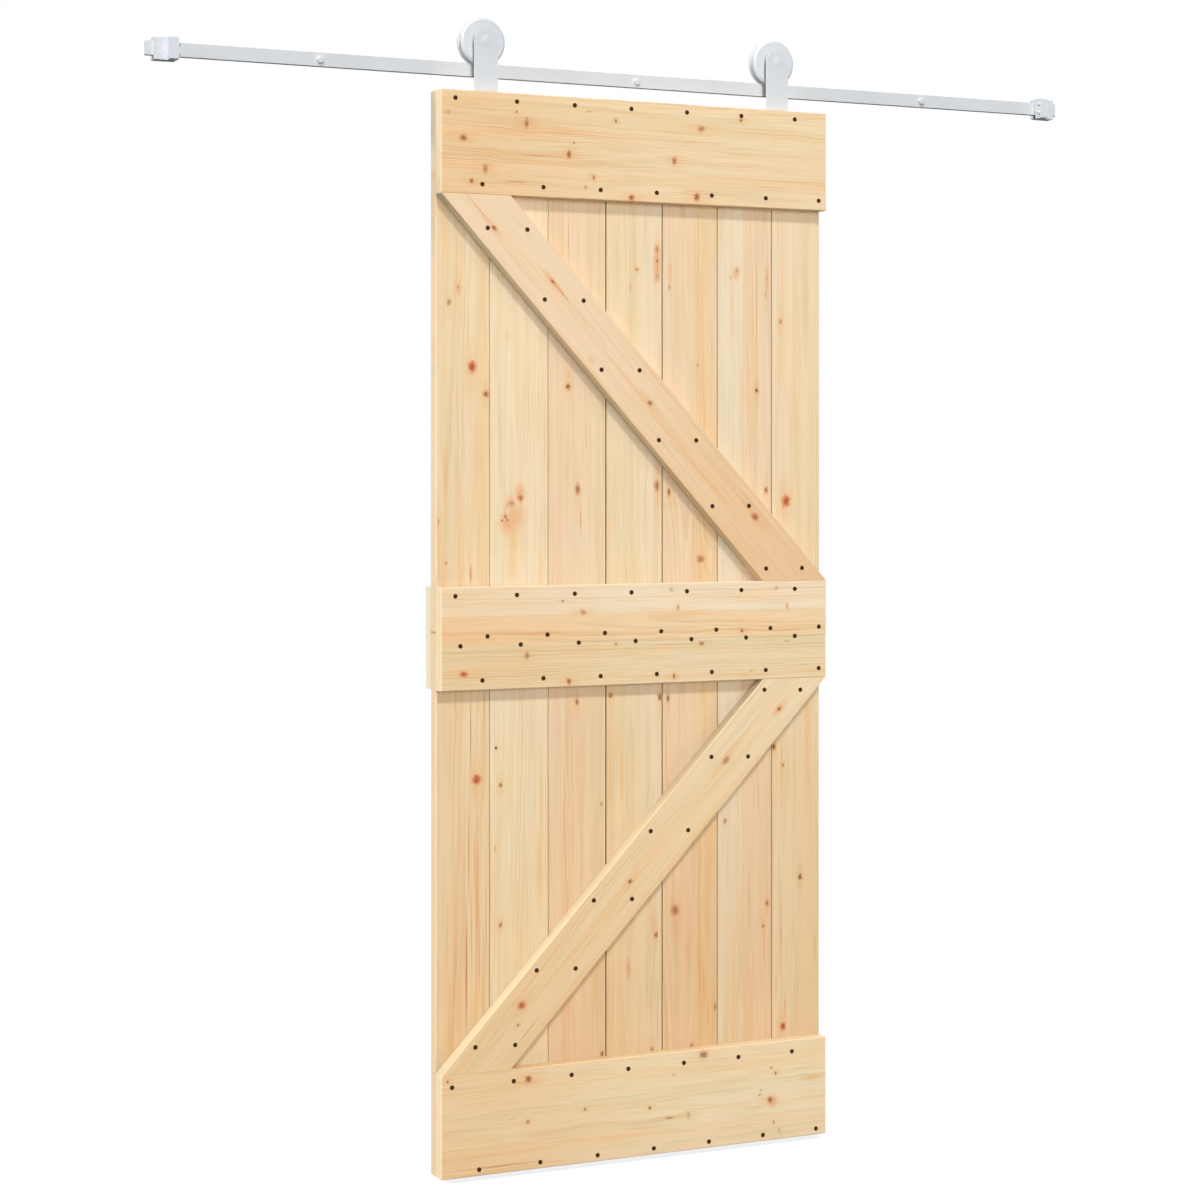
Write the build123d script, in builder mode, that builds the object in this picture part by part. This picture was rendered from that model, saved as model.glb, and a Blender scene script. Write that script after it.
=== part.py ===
"""Sliding barn door: a braced pine plank leaf on two grooved wheels that roll along a flat wall rail.

Millimetres, +Z up, +X along the rail, +Y into the wall. The origin is on the wall, on the axis of
the centre wall bolt, so the whole door stands in front of the wall at negative Y.
"""

import os
from math import hypot, sqrt

from build123d import *

# Rail, wall spacers and bolt holes
rail_length = 2016.0
rail_height = 27.0
rail_thickness = 6.0
rail_end_ease = 1.0
spacer_length = 40.0
spacer_diameter = 15.0
wall_bolt_hole = 8.5
wall_bolt_pitch = 668.0

# End stops: a clamp astride the rail with a deeper bumper block on its inner side
stop_height = 42.0
clamp_length = 25.0
clamp_front_wall = 5.0
clamp_back_wall = 12.0
clamp_ease = 1.0
bumper_length = 18.0
bumper_reach = 18.0
bumper_ease = 2.5
slot_play = 0.4
left_stop_inset = 15.0
right_stop_inset = 9.0

# Door leaf
door_width = 850.0
door_height = 2100.0
door_offset = -15.0
board_thickness = 28.0
ledge_height = 200.0
middle_ledge_level = 1040.0
brace_cut = 147.0
board_ease = 1.5
wall_clearance = 8.0

# Tongue and groove planks
plank_count = 7
plank_pitch = 125.0
plank_gap = 0.8
v_joint = 1.0
tongue_length = 8.0
tongue_thickness = 8.0
groove_play = 0.6

# Hangers
hanger_inset = 102.5
strap_width = 48.0
strap_thickness = 6.0
strap_setback = 20.0
foot_length = 36.0
bend_radius = 2.0
foot_screw_spacing = 26.0
foot_screw_hole = 5.5
door_drop = 33.0

# Wheels and axles
wheel_diameter = 92.5
wheel_width = 29.0
wheel_edge = 4.0
flange_overlap = 4.25
running_gap = 0.3
groove_floor = 8.0
groove_mouth = 15.0
axle_diameter = 10.0
axle_head_diameter = 22.0
axle_head_height = 3.0
thread_diameter = 8.0
bore_play = 0.05
fit_play = 0.1
sleeve_diameter = 20.0
nut_width = 13.0
nut_height = 7.0
thread_end = 2.0

# Tolerance for picking edges by place or length
pick_tolerance = 0.1

# Levels, with the rail centred on the origin
rail_top = rail_height / 2
door_top = -rail_top - door_drop
door_bottom = door_top - door_height
groove_radius = wheel_diameter / 2 - flange_overlap - running_gap
axle_level = rail_top + running_gap + groove_radius

# Depths in front of the wall, counted from the wall outwards
rail_back = spacer_length
rail_front = rail_back + rail_thickness
rail_middle = rail_back + rail_thickness / 2
back_ledge_back = wall_clearance
panel_back = back_ledge_back + board_thickness
panel_front = panel_back + board_thickness
ledge_front = panel_front + board_thickness
strap_front = ledge_front - strap_setback
strap_back = strap_front - strap_thickness
wheel_front = rail_middle + wheel_width / 2
wheel_back = rail_middle - wheel_width / 2
nut_front = wheel_back - running_gap

# Places along the rail
door_left = door_offset - door_width / 2
door_right = door_offset + door_width / 2
hanger_centres = {
    "left": door_left + hanger_inset,
    "right": door_right - hanger_inset,
}
bolt_centres = {
    "left": -wall_bolt_pitch,
    "centre": 0.0,
    "right": wall_bolt_pitch,
}


def save(part, name):
    """Label a finished piece and write it under its own name."""
    part.label = name
    export_step(part, f"parts/{name}.step")


def wall_plane(depth):
    """Return the plane parallel to the wall at a depth in front of it, facing the room."""
    return Plane.XZ.offset(depth)


def make_rail():
    """Flat bar with one hole for each wall bolt."""
    with BuildPart() as rail:
        with BuildSketch(wall_plane(rail_back)):
            Rectangle(rail_length, rail_height)
            with Locations([(x, 0) for x in bolt_centres.values()]):
                Circle(wall_bolt_hole / 2, mode=Mode.SUBTRACT)
        extrude(amount=rail_thickness)
        ends = rail.edges().filter_by(Axis.Y).filter_by(GeomType.LINE)
        fillet(ends, rail_end_ease)
    save(rail.part, "rail")


def make_spacer(side, x):
    """Round tube that keeps the rail off the wall round one bolt."""
    with BuildPart() as spacer:
        with BuildSketch(wall_plane(0)):
            with Locations((x, 0)):
                Circle(spacer_diameter / 2)
                Circle(wall_bolt_hole / 2, mode=Mode.SUBTRACT)
        extrude(amount=spacer_length)
    save(spacer.part, f"wall_spacer_{side}")


def stop_section(front, ease):
    """Draw the section of a stop piece across the rail: a block whose slot drops over the bar."""
    back = rail_back - clamp_back_wall
    with Locations((-(front + back) / 2, 0)):
        RectangleRounded(front - back, stop_height, ease)
    slot_width = rail_thickness + slot_play
    slot_height = rail_top + stop_height / 2
    with Locations((-rail_front + slot_width / 2, rail_top - slot_height / 2)):
        Rectangle(slot_width, slot_height, mode=Mode.SUBTRACT)


def make_stop(side, direction, inset):
    """Clamp and bumper of one end stop, the bumper on the side that faces the door."""
    outer = direction * (rail_length / 2 - inset)
    joint = outer - direction * clamp_length
    with BuildPart() as clamp:
        with BuildSketch(Plane.YZ.offset(outer)):
            stop_section(rail_front + clamp_front_wall, clamp_ease)
        extrude(amount=-direction * clamp_length)
    save(clamp.part, f"stop_clamp_{side}")

    with BuildPart() as bumper:
        with BuildSketch(Plane.YZ.offset(joint)):
            stop_section(rail_front + clamp_front_wall + bumper_reach, bumper_ease)
        extrude(amount=-direction * bumper_length)
    save(bumper.part, f"stop_bumper_{side}")


def make_plank(number, left, right):
    """Upright board with a groove on its left edge, a tongue on its right and V-jointed arrises."""
    first = number == 1
    last = number == plank_count
    start = left + (0 if first else plank_gap / 2)
    end = right - (0 if last else plank_gap / 2)
    middle = -(panel_front + panel_back) / 2
    with BuildPart() as plank:
        with BuildSketch(Plane.XY.offset(door_bottom)) as section:
            with Locations(((start + end) / 2, middle)):
                Rectangle(end - start, board_thickness)
            left_corners = section.vertices().group_by(Axis.X)[0]
            right_corners = section.vertices().group_by(Axis.X)[-1]
            chamfer(left_corners, board_ease if first else v_joint)
            chamfer(right_corners, board_ease if last else v_joint)
            if not first:
                with Locations((start, middle)):
                    Rectangle(
                        2 * (tongue_length + groove_play),
                        tongue_thickness + groove_play,
                        mode=Mode.SUBTRACT,
                    )
            if not last:
                with Locations((end, middle)):
                    Rectangle(2 * tongue_length, tongue_thickness)
        extrude(amount=door_height)
    save(plank.part, f"plank_{number}")


def make_ledge(name, level, back, visible):
    """Level board across the planks, eased along the arrises of its visible face."""
    with BuildPart() as ledge:
        with BuildSketch(wall_plane(back)):
            with Locations((door_offset, level)):
                Rectangle(door_width, ledge_height)
        extrude(amount=board_thickness)
        face = ledge.faces().sort_by(Axis.Y)[visible]
        chamfer(face.edges(), board_ease)
    save(ledge.part, name)


def make_brace(name, left_level, right_level):
    """Slanting board cut level at both ends to sit between two ledges."""
    with BuildPart() as brace:
        with BuildSketch(wall_plane(panel_front)):
            with BuildLine():
                Polyline(
                    (door_left, left_level),
                    (door_left + brace_cut, left_level),
                    (door_right, right_level),
                    (door_right - brace_cut, right_level),
                    close=True,
                )
            make_face()
        extrude(amount=board_thickness)
        front = brace.faces().sort_by(Axis.Y)[0]
        long_side = hypot(door_width - brace_cut, right_level - left_level)
        long_edges = front.edges().filter_by(lambda edge: edge.length > long_side - pick_tolerance)
        chamfer(long_edges, board_ease)
    save(brace.part, name)


def make_hanger(side, x):
    """Flat strap with a round head, bent back at its lower end into a foot on the door's top edge."""
    strap_height = axle_level - door_top
    with BuildPart() as hanger:
        with BuildSketch(wall_plane(strap_back)):
            with Locations((x, door_top + strap_height / 2)):
                Rectangle(strap_width, strap_height)
            with Locations((x, axle_level)):
                Circle(strap_width / 2)
                Circle(axle_diameter / 2 + fit_play, mode=Mode.SUBTRACT)
        extrude(amount=strap_thickness)
        with BuildSketch(Plane.XY.offset(door_top)):
            with Locations((x, -strap_front + foot_length / 2)):
                Rectangle(strap_width, foot_length)
        extrude(amount=strap_thickness)
        across = hanger.edges().filter_by(Axis.X)
        fillet(across.group_by(Axis.Z)[0].sort_by(Axis.Y)[0], bend_radius + strap_thickness)
        nearest, farthest = -strap_back - pick_tolerance, -strap_back + pick_tolerance
        inner = across.filter_by_position(Axis.Y, nearest, farthest)
        fillet(inner, bend_radius)
        screw_line = -(panel_front + panel_back) / 2
        with Locations(Plane.XY.offset(door_top + strap_thickness)):
            with Locations((x, screw_line)):
                with GridLocations(foot_screw_spacing, 0, 2, 1):
                    Hole(foot_screw_hole / 2)
    save(hanger.part, f"hanger_{side}")


def make_axle(side, x):
    """Shoulder bolt through the strap, with its low round head on the front and a threaded tail."""
    with BuildPart() as axle:
        with BuildSketch(wall_plane(strap_front)):
            with Locations((x, axle_level)):
                Circle(axle_head_diameter / 2)
        extrude(amount=axle_head_height)
        with BuildSketch(wall_plane(strap_front)):
            with Locations((x, axle_level)):
                Circle(axle_diameter / 2)
        extrude(amount=nut_front - strap_front)
        with BuildSketch(wall_plane(nut_front)):
            with Locations((x, axle_level)):
                Circle(thread_diameter / 2)
        extrude(amount=-(nut_height + thread_end))
    save(axle.part, f"axle_{side}")


def make_sleeve(side, x):
    """Short tube on the axle that holds the wheel clear of the strap."""
    with BuildPart() as sleeve:
        with BuildSketch(wall_plane(strap_back)):
            with Locations((x, axle_level)):
                Circle(sleeve_diameter / 2)
                Circle(axle_diameter / 2 + fit_play, mode=Mode.SUBTRACT)
        extrude(amount=wheel_front + running_gap - strap_back)
    save(sleeve.part, f"axle_sleeve_{side}")


def make_nut(side, x):
    """Hexagon nut seated on the shoulder of the axle behind the wheel."""
    with BuildPart() as nut:
        with BuildSketch(wall_plane(nut_front)):
            with Locations((x, axle_level)):
                RegularPolygon(nut_width / 2, 6, major_radius=False)
                Circle(thread_diameter / 2 + fit_play, mode=Mode.SUBTRACT)
        extrude(amount=-nut_height)
    save(nut.part, f"axle_nut_{side}")


def make_wheel(side, x):
    """Grooved wheel: two flanges with eased rims and a flat-floored groove that straddles the bar."""
    half = wheel_width / 2
    radius = wheel_diameter / 2
    bore = axle_diameter / 2 + bore_play
    half_section = [
        (0, bore),
        (half, bore),
        (half, radius - wheel_edge),
        (half - wheel_edge, radius),
        (groove_mouth / 2, radius),
        (groove_floor / 2, groove_radius),
        (0, groove_radius),
    ]
    axis_plane = Plane((x, -rail_middle, axle_level), x_dir=(0, 1, 0), z_dir=(1, 0, 0))
    with BuildPart() as wheel:
        with BuildSketch(axis_plane):
            with BuildLine():
                Polyline(*half_section, close=True)
            make_face()
            mirror(about=Plane.YZ)
        revolve(axis=Axis((x, 0, axle_level), (0, 1, 0)))
    save(wheel.part, f"wheel_{side}")


def travel_to_stops():
    """Return how far the wheels can roll from rest to each bumper, left then right."""
    rise = axle_level - stop_height / 2
    rim = sqrt((wheel_diameter / 2) ** 2 - rise**2)
    stop_length = clamp_length + bumper_length
    left_face = -rail_length / 2 + left_stop_inset + stop_length
    right_face = rail_length / 2 - right_stop_inset - stop_length
    return hanger_centres["left"] - rim - left_face, right_face - hanger_centres["right"] - rim


os.makedirs("parts", exist_ok=True)

make_rail()
for side, x in bolt_centres.items():
    make_spacer(side, x)
make_stop("left", -1, left_stop_inset)
make_stop("right", 1, right_stop_inset)

outer_pitch = (door_width - (plank_count - 2) * plank_pitch) / 2
joints = [door_left + outer_pitch + i * plank_pitch for i in range(plank_count - 1)]
plank_edges = [door_left, *joints, door_right]
for number in range(1, plank_count + 1):
    make_plank(number, plank_edges[number - 1], plank_edges[number])

top_level = door_top - ledge_height / 2
middle_level = door_bottom + middle_ledge_level
bottom_level = door_bottom + ledge_height / 2
front, back = 0, -1
make_ledge("top_ledge", top_level, panel_front, front)
make_ledge("middle_ledge", middle_level, panel_front, front)
make_ledge("bottom_ledge", bottom_level, panel_front, front)
make_ledge("back_ledge", middle_level, back_ledge_back, back)
make_brace("upper_brace", top_level - ledge_height / 2, middle_level + ledge_height / 2)
make_brace("lower_brace", bottom_level + ledge_height / 2, middle_level - ledge_height / 2)

for side, x in hanger_centres.items():
    make_hanger(side, x)
    make_axle(side, x)
    make_sleeve(side, x)
    make_nut(side, x)
    make_wheel(side, x)

left_travel, right_travel = travel_to_stops()
print(f"axle level {axle_level:.2f}, rolling radius {axle_level - rail_top:.2f}")
print(f"travel to the bumpers: left {left_travel:.1f}, right {right_travel:.1f}")
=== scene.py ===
"""Sliding barn door: pine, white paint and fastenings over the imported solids, in a white studio."""

import logging
import math
from dataclasses import dataclass, field
from enum import Enum
from typing import Any, Dict, List, Optional, Sequence, Tuple, Union

import bmesh
import bpy
from mathutils import Matrix, Vector


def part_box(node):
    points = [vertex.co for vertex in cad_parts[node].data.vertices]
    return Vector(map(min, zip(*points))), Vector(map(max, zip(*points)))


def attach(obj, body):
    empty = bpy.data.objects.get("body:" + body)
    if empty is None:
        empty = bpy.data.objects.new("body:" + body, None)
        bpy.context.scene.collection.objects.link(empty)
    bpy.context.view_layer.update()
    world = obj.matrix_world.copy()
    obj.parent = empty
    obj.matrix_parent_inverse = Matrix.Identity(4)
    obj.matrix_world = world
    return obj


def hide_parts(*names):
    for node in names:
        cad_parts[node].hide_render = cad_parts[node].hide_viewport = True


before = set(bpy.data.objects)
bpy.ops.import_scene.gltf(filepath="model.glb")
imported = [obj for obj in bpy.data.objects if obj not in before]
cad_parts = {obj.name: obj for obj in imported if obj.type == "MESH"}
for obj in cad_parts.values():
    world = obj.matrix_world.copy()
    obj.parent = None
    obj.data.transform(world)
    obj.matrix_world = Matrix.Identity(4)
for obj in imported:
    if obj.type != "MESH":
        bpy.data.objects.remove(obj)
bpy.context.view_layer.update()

LOG = logging.getLogger("sliding_door")

Triple = Tuple[float, float, float]
Colour = Triple
Pixel = Tuple[float, float]
Span = Tuple[float, float]
Number = Union["Signal", float]

# Sockets of the Mix node when it mixes colours
MIX_FACTOR, MIX_FIRST, MIX_SECOND, MIX_RESULT = 0, 6, 7, 2

WHITE = (1.0, 1.0, 1.0)


def screen(red: float, green: float, blue: float) -> Colour:
    """Turn a colour as a screen shows it, 0 to 255, into linear light.

    Args:
        red: Red level on the screen.
        green: Green level on the screen.
        blue: Blue level on the screen.

    Returns:
        The linear colour.
    """
    def linear(level: float) -> float:
        """Undo the screen's own curve for one level."""
        share = level / 255
        return share / 12.92 if share <= 0.04045 else ((share + 0.055) / 1.055) ** 2.4

    return linear(red), linear(green), linear(blue)


class Signal:
    """One output of a shader tree, on which arithmetic adds Math nodes."""

    def __init__(self, tree: "ShaderTree", socket: bpy.types.NodeSocket) -> None:
        """Keep the socket and the tree that it belongs to."""
        self.tree = tree
        self.socket = socket

    def _math(self, operation: str, first: Number, second: Number = 0.0) -> "Signal":
        """Add one Math node to the tree."""
        return self.tree.signal("ShaderNodeMath", {"operation": operation}, {0: first, 1: second})

    def __add__(self, other: Number) -> "Signal":
        """Sum with a signal or a number."""
        return self._math("ADD", self, other)

    def __radd__(self, other: Number) -> "Signal":
        """Sum with a number on the left."""
        return self._math("ADD", other, self)

    def __sub__(self, other: Number) -> "Signal":
        """Difference from a signal or a number."""
        return self._math("SUBTRACT", self, other)

    def __rsub__(self, other: Number) -> "Signal":
        """Difference from a number on the left."""
        return self._math("SUBTRACT", other, self)

    def __mul__(self, other: Number) -> "Signal":
        """Product with a signal or a number."""
        return self._math("MULTIPLY", self, other)

    def __rmul__(self, other: Number) -> "Signal":
        """Product with a number on the left."""
        return self._math("MULTIPLY", other, self)

    def __truediv__(self, other: Number) -> "Signal":
        """Quotient by a signal or a number."""
        return self._math("DIVIDE", self, other)

    def __gt__(self, other: Number) -> "Signal":
        """One where the signal is above the other, nought elsewhere."""
        return self._math("GREATER_THAN", self, other)

    def larger(self, other: Number) -> "Signal":
        """The larger of two values."""
        return self._math("MAXIMUM", self, other)

    def smaller(self, other: Number) -> "Signal":
        """The smaller of two values."""
        return self._math("MINIMUM", self, other)

    def size(self) -> "Signal":
        """The value without its sign."""
        return self._math("ABSOLUTE", self)

    def fraction(self) -> "Signal":
        """The part after the decimal point."""
        return self._math("FRACT", self)

    def whole(self) -> "Signal":
        """The whole number below."""
        return self._math("FLOOR", self)

    def rise(self, low: float, high: float) -> "Signal":
        """Climb smoothly from nought at low to one at high; high may lie below low.

        Args:
            low: Value that gives nought.
            high: Value that gives one.

        Returns:
            The smoothed share.
        """
        ends = {1: low, 2: high, 3: 0.0, 4: 1.0} if low < high else {1: high, 2: low, 3: 1.0, 4: 0.0}
        return self.tree.signal("ShaderNodeMapRange", {"interpolation_type": "SMOOTHSTEP"}, {0: self, **ends})


class ShaderTree:
    """The nodes of one material or of the world."""

    def __init__(self, block: Union[bpy.types.Material, bpy.types.World]) -> None:
        """Start from an empty tree on a data block.

        Args:
            block: The material or the world.
        """
        block.use_nodes = True
        self.block = block
        self.tree = block.node_tree
        self.tree.nodes.clear()

    @classmethod
    def material(cls, name: str) -> "ShaderTree":
        """Start a new material under a name."""
        return cls(bpy.data.materials.new(name))

    def node(self, kind: str, settings: Dict[str, Any], inputs: Dict[Union[int, str], Any]) -> bpy.types.Node:
        """Add one node, set it up and feed its sockets.

        Args:
            kind: The node's type.
            settings: Attributes that are set first.
            inputs: Values or signals by socket name or number.

        Returns:
            The new node.
        """
        made = self.tree.nodes.new(kind)
        for key, value in settings.items():
            setattr(made, key, value)
        for key, value in inputs.items():
            self._feed(made.inputs[key], value)
        return made

    def signal(self, kind: str, settings: Dict[str, Any], inputs: Dict[Union[int, str], Any],
               output: Union[int, str] = 0) -> Signal:
        """Add one node and return one of its outputs as a signal."""
        return Signal(self, self.node(kind, settings, inputs).outputs[output])

    def _feed(self, socket: bpy.types.NodeSocket, value: Any) -> None:
        """Link a signal to a socket, or set the socket's own value.

        Args:
            socket: The socket.
            value: A signal, a number, a vector or a colour.
        """
        if isinstance(value, Signal):
            self.tree.links.new(value.socket, socket)
        elif socket.type == "RGBA" and len(value) == 3:
            socket.default_value = (*value, 1.0)
        else:
            socket.default_value = value

    def position(self) -> Signal:
        """The point on the piece, in the door's own frame."""
        return self.signal("ShaderNodeTexCoord", {}, {}, "Object")

    def split(self, vector: Signal) -> Tuple[Signal, Signal, Signal]:
        """Take a vector apart into its three numbers."""
        made = self.node("ShaderNodeSeparateXYZ", {}, {0: vector})
        return Signal(self, made.outputs[0]), Signal(self, made.outputs[1]), Signal(self, made.outputs[2])

    def join(self, first: Number, second: Number, third: Number) -> Signal:
        """Put three numbers together as a vector."""
        return self.signal("ShaderNodeCombineXYZ", {}, {0: first, 1: second, 2: third})

    def vector(self, operation: str, *operands: Any) -> Signal:
        """Add one Vector Math node on up to three operands."""
        settings, output = {"operation": operation}, "Value" if operation == "LENGTH" else "Vector"
        return self.signal("ShaderNodeVectorMath", settings, dict(enumerate(operands)), output)

    def noise(self, vector: Signal, scale: Triple, offset: float, detail: float = 2.0) -> Signal:
        """Cloudy noise, stretched by a scale for each direction.

        Args:
            vector: Where on the piece.
            scale: Cells in a metre along each direction.
            offset: Shift that makes one board's noise its own.
            detail: How many finer layers are added.

        Returns:
            Noise between nought and one.
        """
        place = self.vector("MULTIPLY_ADD", vector, scale, (offset, offset * 0.7, offset * 1.3))
        return self.signal("ShaderNodeTexNoise", {}, {"Vector": place, "Scale": 1.0, "Detail": detail})

    def mix(self, factor: Number, first: Any, second: Any, blend: str = "MIX") -> Signal:
        """Mix two colours.

        Args:
            factor: Share of the second colour.
            first: Colour below.
            second: Colour above.
            blend: Blending mode of the Mix node.

        Returns:
            The mixed colour.
        """
        settings = {"data_type": "RGBA", "blend_type": blend}
        inputs = {MIX_FACTOR: factor, MIX_FIRST: first, MIX_SECOND: second}
        return self.signal("ShaderNodeMix", settings, inputs, MIX_RESULT)

    def bump(self, height: Signal, strength: float, distance: float) -> Signal:
        """Turn a height into a bumped normal."""
        inputs = {"Strength": strength, "Distance": distance, "Height": height}
        return self.signal("ShaderNodeBump", {}, inputs)

    def surface(self, **inputs: Any) -> bpy.types.Material:
        """Finish the tree with a Principled shader; underscores in names stand for spaces.

        Args:
            **inputs: Values or signals for the shader's sockets.

        Returns:
            The finished material.
        """
        sockets = {name.replace("_", " "): value for name, value in inputs.items()}
        shader = self.signal("ShaderNodeBsdfPrincipled", {}, sockets)
        self.node("ShaderNodeOutputMaterial", {}, {"Surface": shader})
        return self.block


@dataclass(frozen=True)
class PhotoView:
    """The camera of the photograph, level and turned to the right; image, focal and horizon are in pixels."""

    place: Triple = (-2.27541, -4.76787, -0.77739)
    turn: float = 24.9173
    image: float = 1200.0
    focal: float = 2608.2
    horizon: float = 468.55
    sensor: float = 36.0

    def point(self, pixel: Pixel, depth: float) -> Vector:
        """Find where a pixel's line of sight meets a plane parallel to the wall.

        Args:
            pixel: Place on the photograph.
            depth: Y of the plane.

        Returns:
            The point on that plane.
        """
        angle = math.radians(self.turn)
        ahead = Vector((math.sin(angle), math.cos(angle), 0.0))
        aside = Vector((math.cos(angle), -math.sin(angle), 0.0))
        line = ahead + aside * ((pixel[0] - self.image / 2) / self.focal)
        line.z = (self.horizon - pixel[1]) / self.focal
        return Vector(self.place) + line * ((depth - self.place[1]) / line.y)

    def build(self) -> bpy.types.Object:
        """Make the scene's camera.

        Returns:
            The camera.
        """
        lens = bpy.data.cameras.new("photo_camera")
        lens.sensor_width = self.sensor
        lens.lens = self.sensor * self.focal / self.image
        lens.shift_y = (self.horizon - self.image / 2) / self.image
        camera = bpy.data.objects.new("photo_camera", lens)
        camera.location = self.place
        camera.rotation_euler = (math.radians(90), 0.0, math.radians(-self.turn))
        bpy.context.scene.collection.objects.link(camera)
        bpy.context.scene.camera = camera
        return camera


VIEW = PhotoView()


class Tone(Enum):
    """Colours of planed pine, as a screen shows them."""

    IVORY = (251, 229, 190)
    CHALK = (241, 224, 193)
    LIGHT = (248, 229, 198)
    CREAM = (245, 225, 189)
    BUFF = (250, 223, 182)
    AMBER = (247, 217, 175)
    PALE = (243, 222, 188)
    STRAW = (242, 219, 180)
    TAN = (241, 215, 176)
    PINK = (242, 215, 180)
    HONEY = (241, 211, 168)


class KnotKind(Enum):
    """What a mark in the wood is."""

    RED = "live knot"
    FRESH = "resin-red knot"
    BROWN = "old knot"
    PIN = "pin knot"
    PLUME = "resin plume"
    STREAK = "resin streak"
    SAP = "yellow flame"
    # A grey blotch, greyer and darker than the wood round it
    STAIN = "grey stain"


@dataclass(frozen=True)
class KnotLook:
    """Colours and edges of one kind of knot.

    Attributes:
        core: Colour of its body.
        dark: Colour of its heart and of flecks in it.
        inner: Share of the radius at which the mark starts to fade.
        dark_share: How much of the dark colour shows.
        bend: How far the grain swings round the mark.
        wobble: How ragged its outline is.
    """

    core: Colour
    dark: Colour
    inner: float
    dark_share: float
    bend: float
    wobble: float


# In the order in which they are painted, each over those before it
KNOT_LOOKS = {
    KnotKind.STAIN: KnotLook(screen(205, 194, 168), screen(196, 182, 152), 0.60, 0.30, 0.0, 0.8),
    KnotKind.SAP: KnotLook(screen(241, 206, 148), screen(228, 180, 116), 0.10, 0.35, 0.0, 1.0),
    KnotKind.PLUME: KnotLook(screen(238, 180, 130), screen(218, 144, 98), 0.15, 0.25, 0.0, 1.0),
    KnotKind.STREAK: KnotLook(screen(220, 142, 82), screen(196, 108, 56), 0.05, 0.40, 0.0, 0.5),
    KnotKind.RED: KnotLook(screen(214, 146, 98), screen(142, 78, 36), 0.45, 0.90, 0.3, 1.8),
    KnotKind.FRESH: KnotLook(screen(230, 142, 86), screen(160, 72, 30), 0.50, 0.90, 0.3, 1.7),
    KnotKind.BROWN: KnotLook(screen(194, 142, 90), screen(118, 74, 36), 0.45, 0.85, 0.3, 1.6),
    KnotKind.PIN: KnotLook(screen(96, 60, 36), screen(60, 34, 20), 0.70, 0.60, 0.3, 0.8),
}


@dataclass(frozen=True)
class Knot:
    """One mark in the wood.

    Attributes:
        x: Its place across the photograph, in pixels.
        y: Its place down the photograph, in pixels.
        breadth: Half its width across the grain, in millimetres.
        stretch: Its length along the grain over its width.
        kind: What it is.
        strength: How strongly it shows.
    """

    x: float
    y: float
    breadth: float
    stretch: float
    kind: KnotKind
    strength: float


@dataclass(frozen=True)
class Strip:
    """One glued strip of a board, up to a share of the board's width."""

    upto: float
    tone: Tone


@dataclass(frozen=True)
class Board:
    """One board of the door leaf.

    Attributes:
        node: The CAD node that it dresses.
        angle: Direction of its grain, in degrees from +X towards +Z.
        face: Y of its front face.
        strips: Its glued strips, across the grain.
        knots: Its knots and streaks.
        seed: Shift that makes its pattern its own.
        pith: Depth of the tree's heart behind the face, in metres.
        lower_warmth: How much darker and warmer the wood gets towards the floor, partly its own tone and
            partly painted shade.
        warmth: How much more orange it gets towards one end.
        grain: How strongly its growth rings show.
        warm_from: Distance along the grain at which it starts to get more orange.
        warm_to: Distance along the grain at which it is most orange.
        seam: How dark its first long edge is, where it meets the board before it.
        lit_edge: How strongly painted light makes its first long edge pale.
        shaded_side: How strongly painted shade darkens its second long edge.
        lit_end_tone: Colour of its sawn ends, made paler than plain end grain as painted light, and of a pale
            lit edge.
    """

    node: str
    angle: float
    face: float
    strips: Tuple[Strip, ...]
    knots: Tuple[Knot, ...]
    seed: float
    pith: float = 0.05
    lower_warmth: float = 1.0
    warmth: float = 0.0
    grain: float = 0.55
    warm_from: float = 0.10
    warm_to: float = -0.40
    seam: float = 0.0
    lit_edge: float = 0.0
    shaded_side: float = 0.0
    lit_end_tone: Colour = screen(254, 231, 190)

    def across(self, x: float, z: float) -> float:
        """Distance of a point across the grain."""
        turn = math.radians(self.angle)
        return x * math.sin(turn) - z * math.cos(turn)

    def along(self, x: float, z: float) -> float:
        """Distance of a point along the grain."""
        turn = math.radians(self.angle)
        return x * math.cos(turn) + z * math.sin(turn)


@dataclass(frozen=True)
class Layer:
    """One layer of noise in the wood, drawn out along the grain.

    Attributes:
        along: Cells in a metre along the grain.
        across: Cells in a metre across the grain.
        shift: Shift that sets the layer apart from the others.
        detail: How many finer layers are added.
    """

    along: float
    across: float
    shift: float
    detail: float = 1.0

    def on(self, tree: ShaderTree, place: Signal, seed: float) -> Signal:
        """Lay the noise over one board, between nought and one."""
        scale = (self.along, self.across, self.across)
        return tree.noise(place, scale, seed + self.shift, self.detail)


@dataclass(frozen=True)
class Tint:
    """A colour by which the wood is multiplied, and how strongly that shows."""

    colour: Colour
    share: float = 1.0

    def over(self, tree: ShaderTree, colour: Any, mask: Number) -> Signal:
        """Lay the tint over a colour where a mask shows."""
        return tree.mix(mask * self.share, colour, self.colour, "MULTIPLY")


@dataclass(frozen=True)
class Streaks:
    """Streaks along the grain.

    Attributes:
        layer: Their noise.
        low: Noise at which their tint starts to show.
        high: Noise at which it shows fully; it may lie below low.
        tint: Their tint.
        swing: Whether they swing round knots with the grain.
    """

    layer: Layer
    low: float
    high: float
    tint: Tint
    swing: bool = True


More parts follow.
